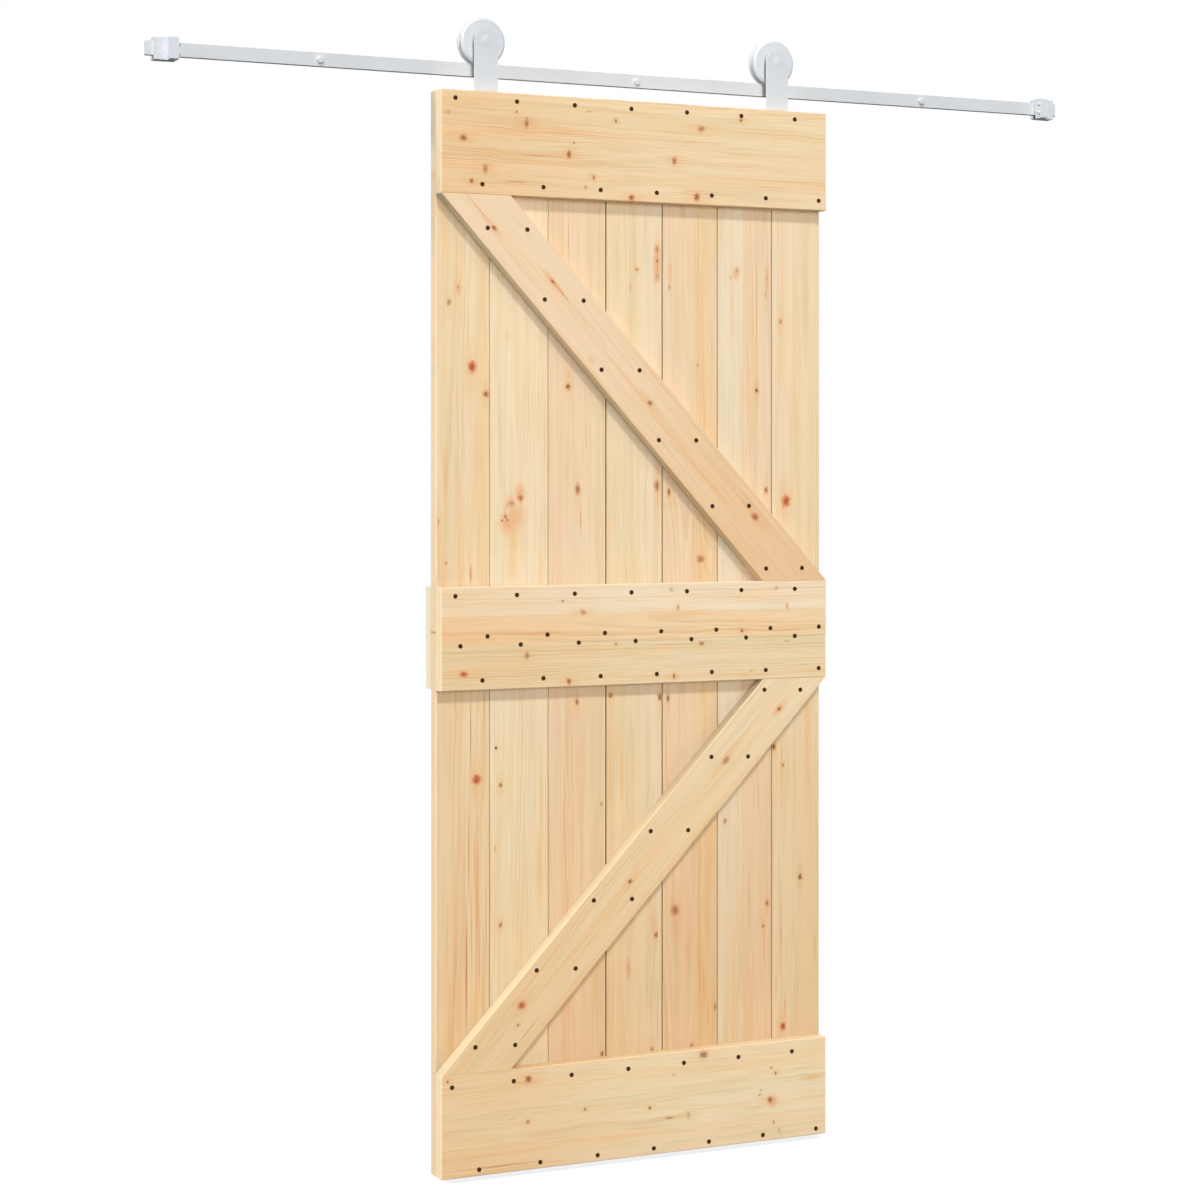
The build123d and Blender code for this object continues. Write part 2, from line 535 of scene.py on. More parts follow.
@dataclass(frozen=True)
class Pine:
    """Planed, unfinished pine with growth rings, glued strips and knots.

    Lengths are in metres. A pair of numbers says where something starts to show and where it is full.

    Attributes:
        ring: Width of one growth ring.
        sway: How far slow waves push the rings aside.
        shiver: How far short waves push them aside.
        heave: How far slow waves push them in and out.
        taper: How much the tree widens along the grain.
        uneven: How uneven the rings' widths are, in rings.
        wave: Noise of the slow waves.
        ripple: Noise of the short waves.
        ragged: Noise that breaks up the knots' outlines.
        patch: Noise of the patches in which rings show.
        patch_shown: Where those patches show.
        fibre: Noise of single fibres.
        fibre_shown: Where fibres show.
        late: Tint of the dark part of a ring.
        late_start: Where in a ring that part starts.
        late_end: Where in a ring it ends.
        thread: Tint of single fibres.
        streaks: Warm and grey streaks, clouds, and broad cool and warm bands.
        hairline: Fine dark lines on upright and slanting boards.
        ledge_hairline: Fine dark lines on level boards.
        knot_rim: How far out a knot's body reaches, in its own radii.
        knot_heart: Where a knot's dark heart shows, in its own radii.
        fleck: Where dark flecks show in it.
        swing_reach: Scale of distances along a knot for the swing, which reaches further that way.
        swing: Where the grain swings round a knot, in its own radii.
        aura: Tint of the resin-rich wood round a knot.
        aura_shown: Where that shows, in the knot's own radii.
        low: Tint towards the floor, partly the wood's own tone and partly painted shade.
        low_shown: Heights at which that shows.
        warm_end: Tint of a board's more orange end.
        end_share: How strongly the colour of sawn ends shows.
        tip: Where it shows, from a board's end.
        painted_shade: Tint of painted shade on the planks in the corner beside a ledge or brace.
        painted_shade_reach: How far from that board the painted shade shows.
        skin: Depths under the front face at which it shows.
        lit_edge_tone: Colour of a brace's lit edge, pale and neutral as painted light.
        side_shade: Tint of the painted shade on a board's second long edge.
        rim: Where an edge's colour shows, from that edge.
        seam: Tint of the shaded edge between two planks.
        seam_rim: Where that shows, from the edge.
        roughness: How matt the wood is.
        relief: Strength of the grain's relief.
        relief_height: Height of that relief.
    """

    ring: float = 0.0052
    sway: float = 0.034
    shiver: float = 0.009
    heave: float = 0.016
    taper: float = 0.014
    uneven: float = 2.2
    wave: Layer = Layer(2.6, 10.0, 0.0)
    ripple: Layer = Layer(14.0, 22.0, 41.0)
    ragged: Layer = Layer(170.0, 240.0, 3.0, 2.0)
    patch: Layer = Layer(2.2, 26.0, 11.0, 2.0)
    patch_shown: Span = (0.34, 0.66)
    fibre: Layer = Layer(22.0, 950.0, 29.0, 2.0)
    fibre_shown: Span = (0.35, 0.8)
    late: Tint = Tint((0.82, 0.66, 0.48), 0.80)
    late_start: Span = (0.30, 0.88)
    late_end: Span = (1.0, 0.93)
    thread: Tint = Tint((0.80, 0.68, 0.52), 0.12)
    streaks: Tuple[Streaks, ...] = (
        Streaks(Layer(2.4, 52.0, 17.0, 4.0), 0.46, 0.72, Tint((0.99, 0.87, 0.72), 0.70)),
        Streaks(Layer(5.0, 70.0, 23.0, 3.0), 0.50, 0.76, Tint((0.90, 0.90, 0.86), 0.60)),
        Streaks(Layer(5.0, 14.0, 31.0, 2.0), 0.35, 0.75, Tint((1.0, 0.955, 0.90), 0.35), False),
        Streaks(Layer(0.8, 30.0, 37.0), 0.50, 0.72, Tint((0.945, 0.97, 0.95), 0.75)),
        Streaks(Layer(0.8, 30.0, 37.0), 0.50, 0.28, Tint((1.0, 0.945, 0.89), 0.75)),
    )
    hairline: Streaks = Streaks(Layer(4.0, 300.0, 47.0), 0.50, 0.78, Tint((0.88, 0.77, 0.62), 0.45))
    ledge_hairline: Streaks = Streaks(Layer(12.0, 300.0, 47.0), 0.50, 0.78, Tint((0.88, 0.77, 0.62), 0.45))
    knot_rim: float = 1.28
    knot_heart: Span = (0.70, 0.20)
    fleck: Span = (-0.02, 0.14)
    swing_reach: float = 0.4
    swing: Span = (3.2, 0.2)
    aura: Tint = Tint((0.97, 0.84, 0.69), 0.65)
    aura_shown: Span = (2.4, 0.7)
    low: Tint = Tint((1.0, 0.89, 0.765))
    low_shown: Span = (-0.95, -1.95)
    warm_end: Tint = Tint((0.955, 0.84, 0.71))
    end_share: float = 0.85
    tip: Span = (0.0008, 0.0003)
    # Bluish painted shade for the planks in the corners beside ledges and braces
    painted_shade: Tint = Tint((0.69, 0.74, 0.83))
    painted_shade_reach: float = 0.060
    skin: Span = (0.003, 0.001)
    lit_edge_tone: Colour = screen(218, 199, 164)
    side_shade: Tint = Tint((0.76, 0.88, 0.97))
    rim: Span = (0.0010, 0.0004)
    seam: Tint = Tint((0.32, 0.27, 0.21))
    seam_rim: Span = (0.0018, 0.0008)
    roughness: float = 0.56
    relief: float = 0.22
    relief_height: float = 0.0005

    def make(self, board: Board, start: float, width: float,
             lips: Sequence[Triple]) -> bpy.types.Material:
        """Make one board's own material.

        Args:
            board: The board.
            start: Distance across the grain of the board's first edge.
            width: The board's width across the grain.
            lips: Edges of other boards beside which the planks get painted shade, each with its slope,
            its distance across that slope and how strongly that painted shade shows.

        Returns:
            The material.
        """
        tree = ShaderTree.material(f"pine_{board.node}")
        x, y, z = tree.split(tree.position())
        turn = math.radians(board.angle)
        along = x * math.cos(turn) + z * math.sin(turn)
        across = x * math.sin(turn) - z * math.cos(turn)
        flat = tree.join(along, across, y)
        bend, aura, marks = self._marks(tree, board, flat)
        swung = tree.vector("SUBTRACT", flat, bend)
        colour, heart = self._strips(tree, board, across, start, width)
        grain = self._rings(tree, board, flat, swung, heart)
        fibre = self.fibre.on(tree, swung, board.seed)

        hairline = self.ledge_hairline if board.angle == LEVEL else self.hairline
        for streaks in (*self.streaks, hairline):
            shown = streaks.layer.on(tree, swung if streaks.swing else flat, board.seed)
            colour = streaks.tint.over(tree, colour, shown.rise(streaks.low, streaks.high))
        colour = self.late.over(tree, colour, grain * board.grain)
        colour = self.thread.over(tree, colour, fibre.rise(*self.fibre_shown))
        # Darker and warmer towards the floor: partly the wood's own tone, partly painted shade
        colour = self.low.over(tree, colour, z.rise(*self.low_shown) * board.lower_warmth)
        if board.warmth:
            end = along.rise(board.warm_from, board.warm_to)
            colour = self.warm_end.over(tree, colour, end * board.warmth)
        colour = self.aura.over(tree, colour, aura)
        for kind, look in KNOT_LOOKS.items():
            if kind in marks:
                core, dark = marks[kind]
                colour = tree.mix(core, colour, look.core)
                colour = tree.mix(dark * look.dark_share, colour, look.dark)

        # Sawn ends take their own tone, made paler as painted light from the side
        if board.angle == LEVEL:
            low_end, high_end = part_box(board.node)
            tip = (x - low_end.x).smaller(high_end.x - x)
            colour = tree.mix(tip.rise(*self.tip) * self.end_share, colour, board.lit_end_tone)
        front = (y - board.face).rise(*self.skin)
        # Painted shade on the planks' front faces in the corners beside ledges and braces
        for slope, lip, share in lips:
            lean = math.radians(slope)
            gap = (x * math.sin(lean) - z * math.cos(lean) - lip).size()
            near = (1.0 - gap / self.painted_shade_reach).larger(0.0)
            colour = self.painted_shade.over(tree, colour, front * near * near * share)
        # Painted light: a pale tone on a board's lit first long edge
        if board.lit_edge:
            tone = board.lit_end_tone if board.angle == UPRIGHT else self.lit_edge_tone
            colour = tree.mix((across - start).rise(*self.rim) * board.lit_edge, colour, tone)
        # Painted shade on a board's second long edge, the upper brace's downward side
        if board.shaded_side:
            rim = (start + width - across).rise(*self.rim)
            colour = self.side_shade.over(tree, colour, rim * board.shaded_side)
        if board.seam:
            rim = (across - start).rise(*self.seam_rim)
            colour = self.seam.over(tree, colour, rim * board.seam)

        normal = tree.bump(grain * -0.5 + fibre * 0.35, self.relief, self.relief_height)
        rough = grain * 0.10 + self.roughness - fibre * 0.06
        return tree.surface(Base_Color=colour, Roughness=rough, Normal=normal, IOR=1.45)

    def _strips(self, tree: ShaderTree, board: Board, across: Signal, start: float,
                width: float) -> Tuple[Any, Number]:
        """Glue a board up from its strips, each cut from another part of a tree.

        Args:
            tree: The board's shader.
            board: The board.
            across: Distance across the grain.
            start: That distance at the board's first edge.
            width: The board's width across the grain.

        Returns:
            The strips' colour, and where the tree's heart lies across the grain.
        """
        colour: Any = screen(*board.strips[0].tone.value)
        heart: Number = start + width * (0.5 - 0.9 * math.sin(board.seed * 2.1))
        for number, strip in enumerate(board.strips[1:]):
            step = across > start + width * board.strips[number].upto
            colour = tree.mix(step, colour, screen(*strip.tone.value))
            heart = step * (0.06 * math.cos(board.seed + 1.9 * number) + 0.03) + heart
        return colour, heart

    def _rings(self, tree: ShaderTree, board: Board, flat: Signal, swung: Signal, heart: Number) -> Signal:
        """Cut a tree's growth rings by the board's faces.

        Args:
            tree: The board's shader.
            board: The board.
            flat: The point along, across and into the board.
            swung: The same point, moved where the grain swings round a knot.
            heart: Where the tree's heart lies across the grain.

        Returns:
            How strongly the dark part of a ring shows.
        """
        along, _, depth = tree.split(flat)
        _, side, _ = tree.split(swung)
        wave = self.wave.on(tree, flat, board.seed) - 0.5
        ripple = self.ripple.on(tree, flat, board.seed) - 0.5
        off = side - heart + wave * self.sway + ripple * self.shiver
        deep = depth - (board.face + board.pith) + along * self.taper + wave * self.heave
        radius = tree.vector("LENGTH", tree.join(off, deep, 0.0))
        width = tree.noise(tree.join(radius, 0.0, 0.0), (70.0, 1.0, 1.0), board.seed + 7.0, 1.0)
        turns = radius / self.ring + width * self.uneven
        phase = turns.fraction()
        late = phase.rise(*self.late_start) * phase.rise(*self.late_end)
        lot = tree.signal("ShaderNodeTexWhiteNoise", {"noise_dimensions": "1D"},
                          {"W": turns.whole() + board.seed})
        patch = self.patch.on(tree, swung, board.seed).rise(*self.patch_shown)
        return late * (lot * 0.8 + 0.2) * patch

    def _marks(self, tree: ShaderTree, board: Board,
               flat: Signal) -> Tuple[Any, Number, Dict[KnotKind, Tuple[Signal, Signal]]]:
        """Work out where a board's knots show and how the grain swings round them.

        Args:
            tree: The board's shader.
            board: The board.
            flat: The point along, across and into the board.

        Returns:
            The swing of the grain, the warm wood round knots, and for each kind of mark its
            body and its dark flecks.
        """
        bend: Any = (0.0, 0.0, 0.0)
        aura: Number = 0.0
        marks: Dict[KnotKind, Tuple[Signal, Signal]] = {}
        ragged = self.ragged.on(tree, flat, board.seed) - 0.5
        fleck = ragged.rise(*self.fleck)
        for knot in board.knots:
            look = KNOT_LOOKS[knot.kind]
            radius = knot.breadth / 1000
            length = radius * knot.stretch
            spot = VIEW.point((knot.x, knot.y), board.face)
            centre = (board.along(spot.x, spot.z), board.across(spot.x, spot.z), 0.0)
            offset = tree.vector("SUBTRACT", flat, centre)
            near = tree.vector("MULTIPLY", offset, (1 / length, 1 / radius, 0.0))
            distance = tree.vector("LENGTH", near)
            edge = ragged * look.wobble + distance
            core = edge.rise(self.knot_rim, look.inner) * knot.strength
            dark = core * edge.rise(*self.knot_heart).larger(fleck)
            if look.bend:
                far = tree.vector("MULTIPLY", offset, (self.swing_reach / length, 1 / radius, 0.0))
                spread = tree.vector("LENGTH", far)
                aside = tree.vector("MULTIPLY", offset, (0.0, look.bend, 0.0))
                swing = tree.signal("ShaderNodeVectorMath", {"operation": "SCALE"},
                                    {0: aside, "Scale": spread.rise(*self.swing)})
                bend = tree.vector("ADD", swing, bend)
                aura = (spread.rise(*self.aura_shown) * knot.strength).larger(aura)
            if knot.kind in marks:
                core = core.larger(marks[knot.kind][0])
                dark = dark.larger(marks[knot.kind][1])
            marks[knot.kind] = (core, dark)
        return bend, aura, marks


@dataclass(frozen=True)
class Paint:
    """Satin paint on steel, with a faint orange peel and, where asked, a dark line of painted shade along a
    lower edge.

    Attributes:
        name: The material's name.
        colour: Its colour in linear light.
        shade: Tint of its slightly duller patches.
        speck_tint: Tint of its fine specks.
        roughness: How matt it is.
        peel: Strength of the orange peel.
        gloss: How much it mirrors, half being plain paint.
        patches: Duller patches in a metre.
        specks: Specks in a metre.
        shade_line_below: Height below which a dark line of painted shade runs along the lower edge.
        shade_line_fade: Height over which that painted shade fades in.
        steel: Colour of that painted shade.
    """

    name: str
    colour: Colour
    shade: Colour = (0.955, 0.96, 0.965)
    speck_tint: Colour = (0.86, 0.87, 0.88)
    roughness: float = 0.58
    peel: float = 0.08
    gloss: float = 0.08
    patches: float = 14.0
    specks: float = 900.0
    shade_line_below: Optional[float] = None
    shade_line_fade: float = 0.0004
    steel: Colour = screen(96, 98, 100)

    def make(self) -> bpy.types.Material:
        """Mix the paint.

        Returns:
            The material.
        """
        tree = ShaderTree.material(self.name)
        place = tree.position()
        patch = tree.noise(place, (self.patches,) * 3, 1.0, 3.0)
        speck = tree.noise(place, (self.specks,) * 3, 2.0, 2.0)
        colour = tree.mix(patch.rise(0.35, 0.7), self.colour, self.shade, "MULTIPLY")
        colour = tree.mix(speck.rise(0.45, 0.75) * 0.10, colour, self.speck_tint, "MULTIPLY")
        # A dark line of painted shade along the lower edge and underside
        if self.shade_line_below is not None:
            shade_line = tree.split(place)[2].rise(self.shade_line_below, self.shade_line_below - self.shade_line_fade)
            colour = tree.mix(shade_line, colour, self.steel)
        normal = tree.bump(speck, self.peel, 0.0002)
        rough = patch * 0.12 + speck * 0.06 + (self.roughness - 0.09)
        return tree.surface(Base_Color=colour, Roughness=rough, Normal=normal, IOR=1.5,
                            Specular_IOR_Level=self.gloss)


@dataclass(frozen=True)
class BlackSteel:
    """Blackened steel of nails and small screws.

    Attributes:
        name: The material's name.
        colour: Its colour in linear light.
        worn: Colour of its scuffs.
        scuffs: Scuffs in a metre.
    """

    name: str = "blackened_steel"
    colour: Colour = screen(66, 40, 14)
    worn: Colour = screen(88, 60, 30)
    scuffs: float = 600.0

    def make(self) -> bpy.types.Material:
        """Blacken the steel.

        Returns:
            The material.
        """
        tree = ShaderTree.material(self.name)
        scuff = tree.noise(tree.position(), (self.scuffs,) * 3, 4.0, 3.0)
        colour = tree.mix(scuff.rise(0.5, 0.8), self.colour, self.worn)
        return tree.surface(Base_Color=colour, Roughness=scuff * 0.25 + 0.45, Specular_IOR_Level=0.1,
                            Normal=tree.bump(scuff, 0.15, 0.0002))


class Maker:
    """Turns bmeshes into finished pieces and dresses CAD nodes."""

    SHARP = math.radians(35)
    WELD = 0.00001

    @staticmethod
    def piece(name: str, mesh: bmesh.types.BMesh, material: bpy.types.Material, body: str,
              slot: str) -> bpy.types.Object:
        """Make an object from a bmesh and set it on a body.

        Args:
            name: The piece's name.
            mesh: Its shape, in place; it is freed.
            material: Its finish.
            body: The CAD body that it rides on.
            slot: The record's material slot; not used.

        Returns:
            The new object.
        """
        bmesh.ops.recalc_face_normals(mesh, faces=mesh.faces)
        data = bpy.data.meshes.new(name)
        mesh.to_mesh(data)
        mesh.free()
        for polygon in data.polygons:
            polygon.use_smooth = True
        data.set_sharp_from_angle(angle=Maker.SHARP)
        data.materials.append(material)
        made = bpy.data.objects.new(name, data)
        bpy.context.scene.collection.objects.link(made)
        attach(made, body)
        LOG.info("%s: %d faces on %s", name, len(data.polygons), body)
        return made

    @staticmethod
    def dress(node: str, material: bpy.types.Material, ease: float = 0.0,
              segments: int = 2) -> bpy.types.Object:
        """Give a CAD node its finish and soften its arrises.

        Args:
            node: The CAD node.
            material: Its finish.
            ease: Width of the softened arris, nought for none.
            segments: Facets across that arris.

        Returns:
            The node's object.
        """
        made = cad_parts[node]
        made.data.materials.clear()
        made.data.materials.append(material)
        if ease:
            weld = made.modifiers.new("weld", "WELD")
            weld.merge_threshold = Maker.WELD
            bevel = made.modifiers.new("arris", "BEVEL")
            bevel.width = ease
            bevel.segments = segments
            bevel.limit_method = "ANGLE"
            bevel.angle_limit = Maker.SHARP
            bevel.harden_normals = True
        LOG.info("%s dressed", node)
        return made


def facing_room(x: float, y: float, z: float) -> Matrix:
    """Placement whose own +Z points out of the wall, into the room."""
    return Matrix.Translation((x, y, z)) @ Matrix.Rotation(math.radians(90), 4, "X")


def facing_side(x: float, y: float, z: float, direction: float) -> Matrix:
    """Placement whose own +Z points along +X or, for a negative direction, along -X."""
    return Matrix.Translation((x, y, z)) @ Matrix.Rotation(math.radians(90 * direction), 4, "Y")


@dataclass(frozen=True)
class ScrewHead:
    """A low round screw head with a socket.

    Attributes:
        radius: Half its width.
        height: How far it stands proud.
        crown: Half the width of its top.
        socket: Half the width of its socket.
        sink: Depth of the socket.
        sides: Facets round it.
        root: How far it reaches into what it holds.
    """

    radius: float = 0.0047
    height: float = 0.0006
    crown: float = 0.0043
    socket: float = 0.0018
    sink: float = 0.0004
    sides: int = 12
    root: float = 0.0015

    def add(self, mesh: bmesh.types.BMesh, place: Matrix) -> None:
        """Add one head to a mesh.

        Args:
            mesh: The mesh that grows.
            place: Where the head sits; its +Z points outwards.
        """
        lift = Matrix.Translation((0.0, 0.0, (self.height - self.root) / 2))
        made = bmesh.ops.create_cone(
            mesh, cap_ends=True, segments=self.sides, radius1=self.radius, radius2=self.radius,
            depth=self.height + self.root, matrix=place @ lift,
        )
        outward = place.to_3x3() @ Vector((0.0, 0.0, 1.0))
        faces = {face for vert in made["verts"] for face in vert.link_faces}
        top = max(faces, key=lambda face: face.calc_center_median().dot(outward))
        bmesh.ops.bevel(mesh, geom=list(top.edges), offset=self.radius - self.crown, segments=2, profile=0.5,
                        affect="EDGES", material=-1)
        faces = {face for face in mesh.faces if len(face.verts) == self.sides}
        top = max(faces, key=lambda face: (face.calc_center_median() - place.translation).dot(outward)
                  - (face.calc_center_median() - place.translation).length)
        bmesh.ops.inset_region(mesh, faces=[top], thickness=self.crown - self.socket)
        sunk = bmesh.ops.extrude_discrete_faces(mesh, faces=[top])["faces"]
        bmesh.ops.translate(mesh, verts=sunk[0].verts, vec=outward * -self.sink)


@dataclass(frozen=True)
class NailRow:
    """A level row of nails, one in each plank.

    Attributes:
        level: Height of the row.
        start: X of its first nail.
        first: Step to the second nail.
        step: Step between the rest.
        last: Step to the last nail.
        count: How many there are.
    """

    level: float
    start: float
    first: float = 0.1290
    step: float = 0.1236
    last: float = 0.1236
    count: int = 7

    def spots(self) -> List[Tuple[float, float]]:
        """Return each nail's X and Z."""
        steps = [0.0, self.first] + [self.step] * (self.count - 3) + [self.last]
        return [(self.start + sum(steps[:number + 1]), self.level) for number in range(self.count)]


@dataclass(frozen=True)
class NailPairs:
    """Pairs of nails down the middle of a brace.

    Attributes:
        pixels: Place of each pair's left nail on the photograph.
        apart: Distance between the two nails.
        drop: How much lower the right nail of a pair sits.
    """

    pixels: Tuple[Pixel, ...]
    apart: float = 0.0836
    drop: float = 0.0

    def spots(self) -> List[Tuple[float, float]]:
        """Find the nails on the brace's face.

        Returns:
            Each nail's X and Z.
        """
        places = []
        for pixel in self.pixels:
            left = VIEW.point(pixel, LEDGE_FACE)
            places += [(left.x, left.z), (left.x + self.apart, left.z - self.drop)]
        return places


PLANK_FACE = -0.064
LEDGE_FACE = -0.092
R, F, B, P = KnotKind.RED, KnotKind.FRESH, KnotKind.BROWN, KnotKind.PIN
PLUME, STREAK, STAIN, SAP = KnotKind.PLUME, KnotKind.STREAK, KnotKind.STAIN, KnotKind.SAP
UPRIGHT, LEVEL = 90.0, 0.0
UPPER_SLOPE = math.degrees(math.atan2(-0.760, 0.703))
LOWER_SLOPE = math.degrees(math.atan2(0.740, 0.703))

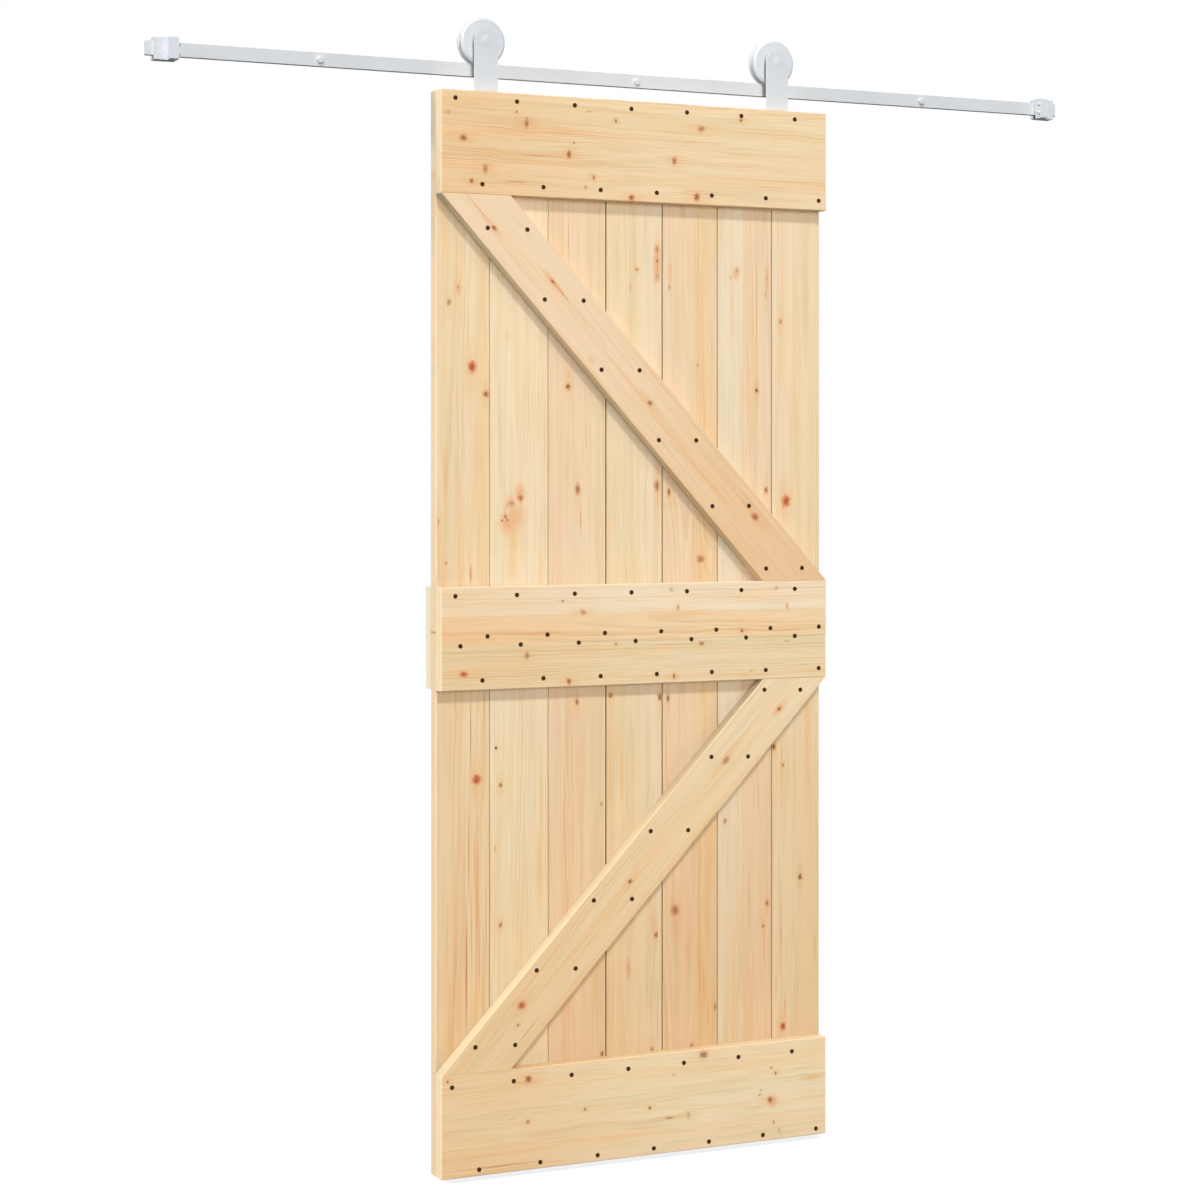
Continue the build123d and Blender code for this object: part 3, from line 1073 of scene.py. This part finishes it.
BOARDS = (
    Board("plank_1", UPRIGHT, PLANK_FACE, (Strip(0.54, Tone.TAN), Strip(1.0, Tone.STRAW)), (
        Knot(472, 367, 10, 1.35, F, 1), Knot(486, 394, 6.6, 1.1, R, 1), Knot(458, 288, 9, 1.8, PLUME, 0.8),
        Knot(458, 287, 2, 1.2, B, 0.7), Knot(449, 302, 5.5, 1.4, B, 0.55), Knot(438.5, 522, 3, 3, B, 0.35),
        Knot(446, 563.5, 2.8, 1.3, B, 0.6), Knot(470.5, 574, 2.6, 9, STREAK, 0.9),
        Knot(476.6, 779.6, 10.8, 1.05, F, 1), Knot(470.6, 735, 1.6, 52, STREAK, 0.9),
        Knot(468.8, 850, 1.6, 70, STREAK, 0.85), Knot(466.4, 975, 2.6, 60, STREAK, 1),
        Knot(477, 900, 4, 45, STREAK, 0.4), Knot(483, 1000, 3, 40, STREAK, 0.35),
        Knot(471.5, 930, 1.5, 80, STREAK, 0.55), Knot(479.5, 960, 1.5, 75, STREAK, 0.55),
        Knot(486, 920, 1.6, 90, STREAK, 0.4), Knot(474.5, 860, 1.4, 60, STREAK, 0.45),
        Knot(468, 335, 3, 30, SAP, 0.6), Knot(469, 556, 4.2, 7, SAP, 0.9),
        # Grey blotches along the plank's left edge
        Knot(435.4, 122, 2.2, 26, STAIN, 0.9), Knot(435.4, 174, 2.2, 6, PLUME, 1),
        Knot(435.4, 370, 2, 8, STAIN, 0.5), Knot(435.4, 348, 2, 9, PLUME, 0.6),
        Knot(433, 633, 10, 0.22, P, 1),
    ), 1.3, 0.045, 0.8, lit_edge=0.40),
    Board("plank_2", UPRIGHT, PLANK_FACE, (Strip(0.18, Tone.CREAM), Strip(1.0, Tone.CREAM)), (
        Knot(520.5, 498, 5.2, 1.4, R, 0.9), Knot(511.6, 503.5, 5.6, 1.1, B, 0.4),
        Knot(507.2, 505, 1.2, 6, B, 0.6), Knot(505.5, 516.5, 4, 1.4, R, 0.7),
        Knot(502, 520.5, 2.6, 1.2, B, 0.7), Knot(507.4, 520, 2.6, 1, B, 0.7),
        Knot(520, 494, 15, 1.6, PLUME, 0.8), Knot(512, 504, 16, 1.2, PLUME, 0.7),
        Knot(508, 523, 23, 1.2, PLUME, 0.8), Knot(515, 517, 26, 1.3, PLUME, 0.7),
        Knot(513, 540, 17, 2.6, SAP, 0.9), Knot(512, 562, 14, 4, SAP, 0.6),
        Knot(507, 336, 9, 2.2, SAP, 0.6), Knot(496, 748, 2.4, 1.1, P, 1),
        Knot(500.5, 785, 4.8, 1.2, R, 0.75), Knot(495.5, 848.5, 3, 2.4, B, 0.25),
        Knot(541, 800, 5, 30, SAP, 0.7), Knot(539.5, 870, 10, 12, SAP, 0.9),
        Knot(500.5, 925, 4.8, 1.3, R, 0.7), Knot(521, 940, 8, 14, SAP, 0.5),
        Knot(545, 430, 4, 26, SAP, 0.6),
    ), 4.1, 0.080, 0.6),
    Board("plank_3", UPRIGHT, PLANK_FACE, (Strip(0.66, Tone.PINK), Strip(1.0, Tone.TAN)), (
        Knot(568, 386.5, 5.6, 1.4, R, 1), Knot(569, 374, 1, 16, STREAK, 0.7),
        Knot(577.5, 489.5, 6, 2.3, R, 0.75), Knot(580.5, 520, 1.4, 22, STREAK, 0.9),
        Knot(577, 702, 4.4, 1.7, B, 0.8), Knot(601.5, 804, 3.4, 1.6, B, 0.4),
        Knot(568.6, 240, 1.4, 40, STREAK, 0.5), Knot(602, 1054, 3.8, 1.9, R, 1),
        Knot(569.5, 935, 1.6, 60, STREAK, 0.3),
    ), 7.7, 0.060, 0.85),
    Board("plank_4", UPRIGHT, PLANK_FACE, (Strip(0.62, Tone.STRAW), Strip(1.0, Tone.PALE)), (
        Knot(638, 270, 8, 1.2, PLUME, 0.4), Knot(636.5, 269.5, 4.2, 0.8, B, 0.55),
        Knot(630.5, 287, 1.8, 8, STREAK, 0.5), Knot(657, 276, 7.2, 1.5, R, 0.3),
        Knot(657, 262, 10, 4.6, PLUME, 1), Knot(657, 249, 6.2, 1.5, R, 0.4), Knot(657, 261, 3, 1.2, B, 0.9),
        Knot(657, 486, 7, 2, R, 0.7), Knot(610.6, 695.5, 5.6, 1.2, R, 0.7),
        Knot(659.6, 697, 5, 1.8, B, 0.9), Knot(622, 780, 7, 16, SAP, 0.9),
        Knot(628.5, 969, 6.6, 4, PLUME, 1), Knot(656, 935, 4.4, 1.6, R, 0.75),
        Knot(652, 1050, 4.6, 1.6, R, 0.55), Knot(654, 925, 8, 5, PLUME, 0.5),
    ), 10.9, 0.035, 0.85, seam=1.0),
    Board("plank_5", UPRIGHT, PLANK_FACE, (Strip(0.56, Tone.PINK), Strip(1.0, Tone.HONEY)), (
        Knot(670, 271, 6, 5, PLUME, 0.5), Knot(669.4, 287, 2.8, 2.6, B, 0.35),
        Knot(669, 492, 5.4, 1.8, R, 0.75), Knot(700.4, 559, 10, 1, R, 0.65),
        Knot(668, 698, 4.4, 1.9, B, 0.85), Knot(675, 910, 11, 1.2, R, 0.75),
        Knot(698, 365, 3, 1.4, B, 0.35), Knot(691.5, 1046, 5.6, 1.6, B, 0.5),
        Knot(708, 1015, 1.6, 24, STREAK, 0.6), Knot(715, 1007, 4, 2.6, R, 0.6),
        Knot(699.5, 985, 1, 90, STREAK, 0.55), Knot(704, 975, 1, 80, STREAK, 0.45),
        Knot(676, 925, 6, 6, PLUME, 0.5), Knot(702, 300, 5, 30, SAP, 0.6),
    ), 13.4, 0.055, seam=0.8),
    Board("plank_6", UPRIGHT, PLANK_FACE, (Strip(0.45, Tone.CHALK), Strip(1.0, Tone.PINK)), (
        Knot(736, 273.5, 10.5, 1.6, PLUME, 0.7), Knot(730.5, 277.5, 3.4, 1.4, B, 0.2),
        Knot(737.5, 270.5, 5.2, 1.5, R, 0.25), Knot(764, 945, 1, 60, STREAK, 0.5),
        Knot(767, 279, 5.6, 7, PLUME, 0.6), Knot(767, 277, 3.6, 3.2, R, 0.15),
        Knot(765.5, 295, 1.8, 6, STREAK, 0.7), Knot(756.4, 390.5, 4.2, 1.4, R, 1),
        Knot(756.4, 390.5, 2, 1.4, P, 0.7), Knot(756.6, 310, 1.1, 130, STREAK, 0.8),
        Knot(766, 490, 5, 1.7, R, 0.8), Knot(725, 821, 4.4, 1.4, B, 0.6), Knot(767, 903, 5, 1.5, R, 0.7),
        Knot(763, 926, 4, 1.3, R, 0.6),
    ), 16.8, 0.070, 0.8, seam=0.4),
    Board("plank_7", UPRIGHT, PLANK_FACE, (Strip(0.55, Tone.PALE), Strip(1.0, Tone.STRAW)), (
        Knot(780.4, 321.5, 5.2, 1.3, R, 0.5), Knot(786, 501, 10.2, 1.3, F, 1),
        Knot(774, 747, 4.8, 1.5, B, 0.95), Knot(783, 765, 3.6, 1.4, R, 0.7), Knot(800, 877, 5.6, 1.3, B, 1),
        Knot(782.8, 1026.5, 7.8, 1.2, F, 1), Knot(785, 1004, 1.4, 22, STREAK, 0.9),
        Knot(781, 935, 1.2, 70, STREAK, 0.7), Knot(776, 985, 1.2, 24, STREAK, 0.6),
        Knot(793, 930, 4, 12, SAP, 0.9), Knot(815, 945, 3.4, 9, PLUME, 0.8),
        Knot(797, 420, 4, 20, SAP, 0.6), Knot(786, 501, 12, 1.5, PLUME, 0.7),
    ), 19.9, 0.040, seam=0.55),
    Board("top_ledge", LEVEL, LEDGE_FACE, (
        Strip(0.16, Tone.STRAW), Strip(0.62, Tone.TAN), Strip(1.0, Tone.TAN),
    ), (
        Knot(463.5, 137.5, 7.6, 1.25, R, 0.9), Knot(526.6, 123.5, 9.8, 0.62, R, 0.8),
        Knot(526.8, 118, 2, 1.1, B, 0.8), Knot(569, 154.3, 9.2, 0.66, R, 1),
        Knot(540, 155.8, 1.3, 50, STREAK, 0.8), Knot(485.5, 168.5, 11, 0.62, R, 0.65),
        Knot(471.7, 181, 5.8, 0.9, R, 1), Knot(593.8, 177.4, 6.2, 0.52, R, 0.85),
        Knot(585.6, 187.5, 4.2, 0.7, R, 0.55), Knot(631.5, 197.8, 7, 1.1, R, 1),
        Knot(616, 121, 5.2, 0.62, B, 0.75), Knot(589, 111.5, 1.8, 4, B, 0.3),
        Knot(448, 112, 4.6, 0.6, B, 0.4), Knot(516.5, 112, 3.4, 1, B, 0.6),
        Knot(574, 143, 2.2, 1.1, B, 0.7), Knot(518, 182, 1.7, 20, STREAK, 0.9),
        Knot(674.5, 161, 9.6, 0.6, R, 0.8), Knot(701, 129, 7, 1.3, R, 0.6), Knot(697, 197, 9.6, 0.8, R, 1),
        Knot(741, 120.5, 4.6, 0.9, B, 0.8),
    ), 22.3, 0.050, 0.0, 0.75, 1.2),
    Board("middle_ledge", LEVEL, LEDGE_FACE, (
        Strip(0.285, Tone.LIGHT), Strip(0.55, Tone.AMBER), Strip(1.0, Tone.STRAW),
    ), (
        Knot(463.8, 674.4, 6.6, 1.55, F, 0.9), Knot(526.9, 655.4, 9.5, 0.7, R, 0.55),
        Knot(527.2, 655.5, 5, 0.6, B, 0.5), Knot(569, 681.2, 6.8, 0.85, R, 1),
        Knot(583, 612, 6.2, 1.2, R, 0.45), Knot(562.7, 601, 2.4, 1.1, B, 0.9),
        Knot(616, 644, 4.2, 0.7, B, 0.55), Knot(674, 675.8, 6.8, 0.5, R, 0.8),
        Knot(701.4, 643.4, 4.4, 2, R, 0.65), Knot(678, 607.5, 8, 0.6, B, 0.35),
        Knot(787, 606, 9.2, 0.6, PLUME, 0.9), Knot(741.9, 630.7, 4.2, 0.9, B, 1),
        Knot(776.4, 588.2, 4.2, 1.2, R, 0.45), Knot(671.2, 589.5, 5, 1.1, B, 0.35),
        Knot(751.5, 670.5, 1.8, 1, B, 0.8), Knot(786.5, 641, 3.4, 2.8, B, 0.15),
        Knot(670, 644.5, 1.3, 50, STREAK, 0.6), Knot(540, 633, 1.3, 60, STREAK, 0.4),
        Knot(790, 630.5, 1.2, 60, STREAK, 0.4),
    ), 25.1, 0.030, 0.0, 0.65, 0.7),
    Board("bottom_ledge", LEVEL, LEDGE_FACE, (
        Strip(0.30, Tone.IVORY), Strip(0.72, Tone.IVORY), Strip(1.0, Tone.BUFF),
    ), (
        Knot(528.4, 1079, 8.2, 1, R, 0.95), Knot(527.8, 1122, 5.6, 0.8, R, 0.65),
        Knot(585, 1109.4, 3.8, 0.7, R, 0.85), Knot(447.5, 1081.8, 3.6, 1, R, 0.8),
        Knot(649.7, 1108, 4.4, 0.9, R, 0.9), Knot(669, 1118, 2.4, 4.6, R, 0.6),
        Knot(688.3, 1115, 9, 0.5, B, 0.3), Knot(770, 1099.6, 6.8, 0.9, R, 0.95),
        Knot(772, 1101, 15, 1, PLUME, 0.8), Knot(775.6, 1073, 4.6, 0.7, R, 0.7),
        Knot(771.3, 1068, 2.4, 1, B, 0.8), Knot(773.6, 1122, 4, 0.6, R, 0.75),
        Knot(779.2, 1130.5, 5.6, 0.6, B, 0.35), Knot(703.6, 1054.8, 8.6, 1.4, R, 0.75),
        Knot(759.6, 1095, 2.4, 1, B, 0.8), Knot(761, 1090, 1.8, 1, B, 0.7), Knot(812, 1077, 8, 4.5, SAP, 1),
        Knot(512, 1119.5, 1.8, 1.2, B, 0.35), Knot(673.6, 1074.5, 3.4, 0.5, R, 0.45),
        Knot(500, 1166, 3, 36, STREAK, 0.6),
    ), 28.6, 0.055, 0.0, 0.80, 0.5),
    Board("back_ledge", LEVEL, LEDGE_FACE, (Strip(0.5, Tone.STRAW), Strip(1.0, Tone.TAN)), (
        Knot(520, 612, 8, 0.8, R, 0.7), Knot(660, 650, 6, 0.9, R, 0.8), Knot(760, 625, 7, 0.9, B, 0.6),
    ), 31.2, 0.050, 0.0, lit_end_tone=screen(248, 239, 205)),
    # The upper brace's downward side gets painted shade
    Board("upper_brace", UPPER_SLOPE, LEDGE_FACE, (Strip(0.45, Tone.PINK), Strip(1.0, Tone.PINK)), (
        Knot(494.2, 228, 5, 1.5, R, 0.9), Knot(480, 210, 1, 60, STREAK, 0.8),
        Knot(554, 283, 6.8, 4.6, PLUME, 1), Knot(552.5, 281.5, 3.6, 2.4, R, 0.8),
        Knot(563, 294, 1.4, 18, STREAK, 0.9), Knot(650, 403, 5.6, 1.2, B, 0.8),
        Knot(755, 517, 8.6, 1.3, R, 0.9), Knot(591, 360, 8, 1.6, PLUME, 0.5),
    ), 34.7, 0.060, 0.0, 0.85, 0.45, 0.25, 1.0, shaded_side=0.9),
    Board("lower_brace", LOWER_SLOPE, LEDGE_FACE, (Strip(0.35, Tone.CREAM), Strip(1.0, Tone.CREAM)), (
        Knot(779.2, 708.8, 4.6, 1.3, R, 1), Knot(779, 709, 10, 1.8, PLUME, 0.5),
        Knot(726, 760, 7.6, 1.5, R, 0.6), Knot(630, 881.5, 4.6, 1.4, B, 0.85),
        Knot(521.7, 1005.4, 8.6, 1.1, F, 0.9), Knot(521.7, 1006, 12, 1.3, PLUME, 0.6),
        Knot(518, 1025, 3.6, 1.2, B, 0.6), Knot(528, 1031, 1.2, 34, STREAK, 0.9),
    ), 37.5, 0.045, 1.0, 0.0, 0.45, lit_edge=1.0),
)

NAILS: Dict[str, Tuple[Union[NailRow, NailPairs], ...]] = {
    "top_ledge": (NailRow(-0.0624, -0.4105), NailRow(-0.2267, -0.3543)),
    "middle_ledge": (
        NailRow(-1.0236, -0.4105),
        NailRow(-1.1026, -0.3436, 0.1270, 0.1241, 0.1132),
        NailRow(-1.1202, -0.4001, 0.1265, 0.1243, 0.1129),
        NailRow(-1.1877, -0.3543),
    ),
    "bottom_ledge": (NailRow(-1.9700, -0.4173), NailRow(-2.1341, -0.3610)),
    "upper_brace": (NailPairs((
        (487.8, 227.9), (544.8, 299.5), (601.5, 369.7), (658.9, 440.2), (712.4, 506.2), (766.1, 568.5),
    )),),
    "lower_brace": (NailPairs((
        (764.4, 689.7), (711.4, 756.9), (650.7, 831.1), (593.8, 900.4), (536.7, 970.4), (475.4, 1047.4),
    ), drop=0.003),),
}


@dataclass
class DoorLeaf:
    """The pine leaf: planks, ledges, braces and their nails.

    Attributes:
        pine: The wood.
        board_ease: Softening of the boards' arrises.
        brace_cut: Level width of a brace's ends.
        nail: The nails' head.
        shaded_above: Boards along whose upper edge the planks get painted shade, and how strongly it shows.
        shaded: Boards along whose lower edge the planks get painted shade, and how strongly.
    """

    pine: Pine
    board_ease: float = 0.0004
    brace_cut: float = 0.147
    nail: ScrewHead = ScrewHead()
    # How strongly painted shade darkens the planks beside each board's edge
    shaded_above: Dict[str, float] = field(
        default_factory=lambda: {"middle_ledge": 0.85, "bottom_ledge": 0.85, "lower_brace": 0.9})
    shaded: Dict[str, float] = field(default_factory=lambda: {"upper_brace": 0.75})

    def build(self, black: bpy.types.Material) -> None:
        """Dress every board and drive in the nails.

        Args:
            black: Finish of the nails.
        """
        extents = {board.node: self._extent(board) for board in BOARDS}
        # Edges of ledges and braces beside which the planks get painted shade
        lips = []
        for board in BOARDS:
            start, width = extents[board.node]
            if board.node in self.shaded_above:
                lips.append((board.angle, start, self.shaded_above[board.node]))
            if board.node in self.shaded:
                lips.append((board.angle, start + width, self.shaded[board.node]))
        for board in BOARDS:
            above = lips if board.angle == UPRIGHT else []
            Maker.dress(board.node, self.pine.make(board, *extents[board.node], above), self.board_ease)
        for node, groups in NAILS.items():
            mesh = bmesh.new()
            for group in groups:
                for x, z in group.spots():
                    self.nail.add(mesh, facing_room(x, LEDGE_FACE, z))
            Maker.piece(f"{node}_nails", mesh, black, "door", "screws")

    def _extent(self, board: Board) -> Tuple[float, float]:
        """Find where a board starts across its grain, and how wide it is.

        Args:
            board: The board.

        Returns:
            The start and the width, in metres.
        """
        low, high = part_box(board.node)
        if board.angle == UPRIGHT:
            order = [other.node for other in BOARDS if other.angle == UPRIGHT]
            after = order[order.index(board.node) + 1:]
            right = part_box(after[0])[0].x if after else high.x
            return low.x, right - low.x
        if board.angle == LEVEL:
            return -high.z, high.z - low.z
        level = high.z if board.angle < 0 else low.z
        sides = [board.across(low.x, level), board.across(low.x + self.brace_cut, level)]
        return min(sides), max(sides) - min(sides)


@dataclass
class Track:
    """The wall rail with its bolts and end stops.

    Attributes:
        bolt_flats: Width of a bolt head across its flats.
        bolt_height: Height of a bolt head.
        bolt_ease: Chamfer round its front.
        shank: Half the width of the bolt's shank.
        wall_gap: How far short of the wall the shank ends.
        screw: The screw heads on a bumper.
        screw_rise: Height of those screws above and below the rail's middle.
        screw_depth: Y of those screws.
        ease: Softening of the steel's arrises.
    """

    bolt_flats: float = 0.013
    bolt_height: float = 0.006
    bolt_ease: float = 0.0012
    shank: float = 0.004
    wall_gap: float = 0.001
    screw: ScrewHead = ScrewHead(0.0033, 0.0045, 0.0022, 0.0012, 0.0014, 16, 0.001)
    screw_rise: float = 0.009
    screw_depth: float = -0.0625
    ease: float = 0.0003

    def build(self, rail_paint: bpy.types.Material, paint: bpy.types.Material,
              plastic: bpy.types.Material) -> None:
        """Dress the rail and its pieces, and add bolts and screws.

        Args:
            rail_paint: Finish of the rail, with painted shade along its lower edge.
            paint: Finish of the other steel and of the bumper screws.
            plastic: Finish of the bumpers.
        """
        Maker.dress("rail", rail_paint, self.ease)
        for side in ("left", "centre", "right"):
            Maker.dress(f"wall_spacer_{side}", paint)
            self._bolt(side, paint)
        for side, inward in (("left", 1.0), ("right", -1.0)):
            Maker.dress(f"stop_clamp_{side}", paint, self.ease)
            Maker.dress(f"stop_bumper_{side}", plastic, self.ease)
            low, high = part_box(f"stop_bumper_{side}")
            mesh = bmesh.new()
            for rise in (self.screw_rise, -self.screw_rise):
                x = high.x if inward > 0 else low.x
                self.screw.add(mesh, facing_side(x, self.screw_depth, rise, inward))
            Maker.piece(f"bumper_screws_{side}", mesh, paint, "track", "painted_steel")

    def _bolt(self, side: str, paint: bpy.types.Material) -> None:
        """Add one hexagon bolt through the rail and its spacer.

        Args:
            side: Which of the three spacers.
            paint: Finish of the bolt.
        """
        low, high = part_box(f"wall_spacer_{side}")
        rail_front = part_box("rail")[0].y
        x = (low.x + high.x) / 2
        radius = self.bolt_flats / 2 / math.cos(math.radians(30))
        mesh = bmesh.new()
        bmesh.ops.create_cone(
            mesh, cap_ends=True, segments=6, radius1=radius, radius2=radius, depth=self.bolt_height,
            matrix=facing_room(x, rail_front - self.bolt_height / 2, 0.0) @ Matrix.Rotation(
                math.radians(30), 4, "Z"),
        )
        front = min(mesh.faces, key=lambda face: face.calc_center_median().y)
        back = max(mesh.faces, key=lambda face: face.calc_center_median().y)
        bmesh.ops.bevel(mesh, geom=list(front.edges), offset=self.bolt_ease, segments=3, profile=0.5,
                        affect="EDGES", material=-1)
        neck = bmesh.ops.extrude_discrete_faces(mesh, faces=[back])["faces"][0]
        middle = neck.calc_center_median()
        bmesh.ops.scale(mesh, vec=(self.shank / radius,) * 3, verts=neck.verts,
                        space=Matrix.Translation(-middle))
        tail = bmesh.ops.extrude_discrete_faces(mesh, faces=[neck])["faces"][0]
        bmesh.ops.translate(mesh, verts=tail.verts, vec=(0.0, high.y - self.wall_gap - rail_front, 0.0))
        Maker.piece(f"wall_bolt_{side}", mesh, paint, "track", "painted_steel")


@dataclass
class Hangers:
    """Straps, axles, sleeves, nuts and wheels.

    Attributes:
        ease: Softening of the nuts' arrises.
        lip: Height of the straight rim of an axle head.
        crown: Rise of the head from that rim to its middle.
        dome_steps: Facets from the rim to the middle.
        facets: Facets round an axle.
        shank: Half the width of an axle up to its nut.
        thread: Half the width of its end in the nut.
        foot_screw: The screws through the straps' feet.
        foot_thick: Thickness of a strap's foot.
        foot_spread: Distance of a foot screw from the strap's middle.
        foot_depth: Y of the foot screws.
    """

    ease: float = 0.0005
    lip: float = 0.0003
    crown: float = 0.0012
    dome_steps: int = 7
    facets: int = 64
    shank: float = 0.005
    thread: float = 0.004
    foot_screw: ScrewHead = ScrewHead(0.0049, 0.0016, 0.0032, 0.0016, 0.0016, 20, 0.004)
    foot_thick: float = 0.006
    foot_spread: float = 0.013
    foot_depth: float = -0.050

    def build(self, paint: bpy.types.Material, wheel_paint: bpy.types.Material,
              black: bpy.types.Material) -> None:
        """Dress both hangers and add their axle heads and screws.

        Args:
            paint: Finish of the steel.
            wheel_paint: Finish of the wheels.
            black: Finish of the foot screws.
        """
        for side in ("left", "right"):
            Maker.dress(f"hanger_{side}", paint)
            Maker.dress(f"axle_sleeve_{side}", paint)
            Maker.dress(f"axle_nut_{side}", paint, self.ease)
            Maker.dress(f"wheel_{side}", wheel_paint)
            self._axle(side, paint)
            low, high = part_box(f"hanger_{side}")
            mesh = bmesh.new()
            for offset in (-self.foot_spread, self.foot_spread):
                x = (low.x + high.x) / 2 + offset
                self.foot_screw.add(mesh, Matrix.Translation((x, self.foot_depth, low.z + self.foot_thick)))
            Maker.piece(f"foot_screws_{side}", mesh, black, "door", "screws")

    def _axle(self, side: str, paint: bpy.types.Material) -> None:
        """Replace an axle by one with a domed head.

        Args:
            side: Which of the two hangers.
            paint: Finish of the axle.
        """
        low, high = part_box(f"axle_{side}")
        strap_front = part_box(f"hanger_{side}")[0].y
        nut_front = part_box(f"axle_nut_{side}")[0].y
        x, z = (low.x + high.x) / 2, (low.z + high.z) / 2
        head = (high.x - low.x) / 2
        mesh = bmesh.new()
        bmesh.ops.create_cone(
            mesh, cap_ends=True, segments=self.facets, radius1=head, radius2=head, depth=self.lip,
            matrix=facing_room(x, strap_front - self.lip / 2, z),
        )
        front = min(mesh.faces, key=lambda face: face.calc_center_median().y)
        back = max(mesh.faces, key=lambda face: face.calc_center_median().y)
        levels = [self.crown * (1 - (1 - step / self.dome_steps) ** 2) for step in range(self.dome_steps)]
        for lower, upper in zip(levels, levels[1:]):
            bmesh.ops.inset_region(mesh, faces=[front], thickness=head / self.dome_steps, depth=upper - lower)
        for radius, reach in ((self.shank, nut_front), (self.thread, high.y)):
            wide = max((vert.co - Vector((x, vert.co.y, z))).length for vert in back.verts)
            bmesh.ops.inset_region(mesh, faces=[back], thickness=wide - radius)
            back = bmesh.ops.extrude_discrete_faces(mesh, faces=[back])["faces"][0]
            forth = reach - back.calc_center_median().y
            bmesh.ops.translate(mesh, verts=back.verts, vec=(0.0, forth, 0.0))
        made = Maker.piece(f"domed_axle_{side}", mesh, paint, "door", "painted_steel")
        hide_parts(f"axle_{side}")


@dataclass(frozen=True)
class Lamp:
    """One distant lamp.

    Attributes:
        name: Its name.
        strength: Its light on a surface that faces it.
        spread: Its width in the sky, in degrees.
        towards: Direction from the door to the lamp.
    """

    name: str
    strength: float
    spread: float
    towards: Triple

    def hang(self) -> None:
        """Hang the lamp in the scene."""
        lamp = bpy.data.lights.new(self.name, "SUN")
        lamp.energy = self.strength
        lamp.angle = math.radians(self.spread)
        hung = bpy.data.objects.new(self.name, lamp)
        hung.rotation_euler = Vector(self.towards).to_track_quat("Z", "Y").to_euler()
        bpy.context.scene.collection.objects.link(hung)


@dataclass
class Studio:
    """White surroundings and soft light.

    Attributes:
        floor_gap: Distance from the leaf to the floor.
        floor_size: Half the floor's width.
        floor_grey: How pale the floor is to the light that falls on the door.
        floor_pale: How pale it is to the eye.
        floor_glow: How much it glows to the eye.
        sky: Strength of the light from all round.
        lamps: The lamps.
    """

    floor_gap: float = 0.012
    floor_size: float = 14.0
    floor_grey: float = 0.04
    floor_pale: float = 0.5
    floor_glow: float = 0.78
    sky: float = 0.18
    lamps: Tuple[Lamp, ...] = (
        Lamp("key_light", 1.42, 8.0, (-0.10, -0.723, 0.683)),
        Lamp("side_light", 2.35, 12.0, (-0.88, 0.0, 0.47)),
        Lamp("front_light", 1.72, 28.0, (-0.10, -0.985, 0.08)),
        Lamp("back_light", 1.6, 60.0, (0.30, 0.92, 0.25)),
    )

    def build(self) -> None:
        """Make the floor, the lamps and the surroundings."""
        self._floor()
        for lamp in self.lamps:
            lamp.hang()
        self._world()

    def _floor(self) -> None:
        """Lay a pale floor under the leaf."""
        mesh = bmesh.new()
        bmesh.ops.create_grid(mesh, x_segments=1, y_segments=1, size=self.floor_size)
        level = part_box("bottom_ledge")[0].z - self.floor_gap
        bmesh.ops.translate(mesh, verts=mesh.verts, vec=(0.0, 0.0, level))
        data = bpy.data.meshes.new("floor")
        mesh.to_mesh(data)
        mesh.free()
        floor = bpy.data.objects.new("floor", data)
        bpy.context.scene.collection.objects.link(floor)
        tree = ShaderTree.material("studio_floor")
        plain = tree.signal("ShaderNodeBsdfDiffuse", {}, {"Color": (self.floor_grey,) * 3})
        pale = tree.signal("ShaderNodeBsdfDiffuse", {}, {"Color": (self.floor_pale,) * 3})
        glow = tree.signal("ShaderNodeEmission", {}, {"Color": WHITE, "Strength": self.floor_glow})
        white = tree.signal("ShaderNodeAddShader", {}, {0: pale, 1: glow})
        blend = tree.signal("ShaderNodeMixShader", {}, {0: self._seen(tree), 1: plain, 2: white})
        tree.node("ShaderNodeOutputMaterial", {}, {"Surface": blend})
        data.materials.append(tree.block)

    def _seen(self, tree: ShaderTree) -> Signal:
        """Tell where the background is looked at, directly or in a reflection.

        Args:
            tree: The background's shader.

        Returns:
            One where it is looked at, nought elsewhere.
        """
        path = tree.node("ShaderNodeLightPath", {}, {})
        camera, gloss, through = (
            Signal(tree, path.outputs[name])
            for name in ("Is Camera Ray", "Is Glossy Ray", "Is Transmission Ray")
        )
        return camera.larger(gloss).larger(through)

    def _world(self) -> None:
        """Surround the door with even light on a white ground."""
        world = bpy.data.worlds.new("white_studio")
        bpy.context.scene.world = world
        tree = ShaderTree(world)
        strength = self._seen(tree) * (1.0 - self.sky) + self.sky
        sky = tree.signal("ShaderNodeBackground", {}, {"Color": WHITE, "Strength": strength})
        tree.node("ShaderNodeOutputWorld", {}, {"Surface": sky})


def main() -> None:
    """Build the door's pieces in order and set the studio round them."""
    logging.basicConfig(level=logging.INFO, format="%(name)s: %(message)s")
    bpy.context.scene.view_settings.view_transform = "Standard"
    VIEW.build()
    white = Paint("white_paint", screen(215, 219, 223)).make()
    # The rail's paint carries a dark line of painted shade along its lower edge
    rail_white = Paint("rail_paint", screen(214, 217, 220), shade_line_below=-0.0120).make()
    wheel_white = Paint("wheel_paint", screen(215, 219, 223), roughness=0.50, gloss=0.14).make()
    plastic = Paint("bumper_plastic", screen(216, 221, 226), roughness=0.60, peel=0.14).make()
    black = BlackSteel().make()
    DoorLeaf(Pine()).build(black)
    Track().build(rail_white, white, plastic)
    Hangers().build(white, wheel_white, black)
    Studio().build()


if __name__ == "__main__":
    main()
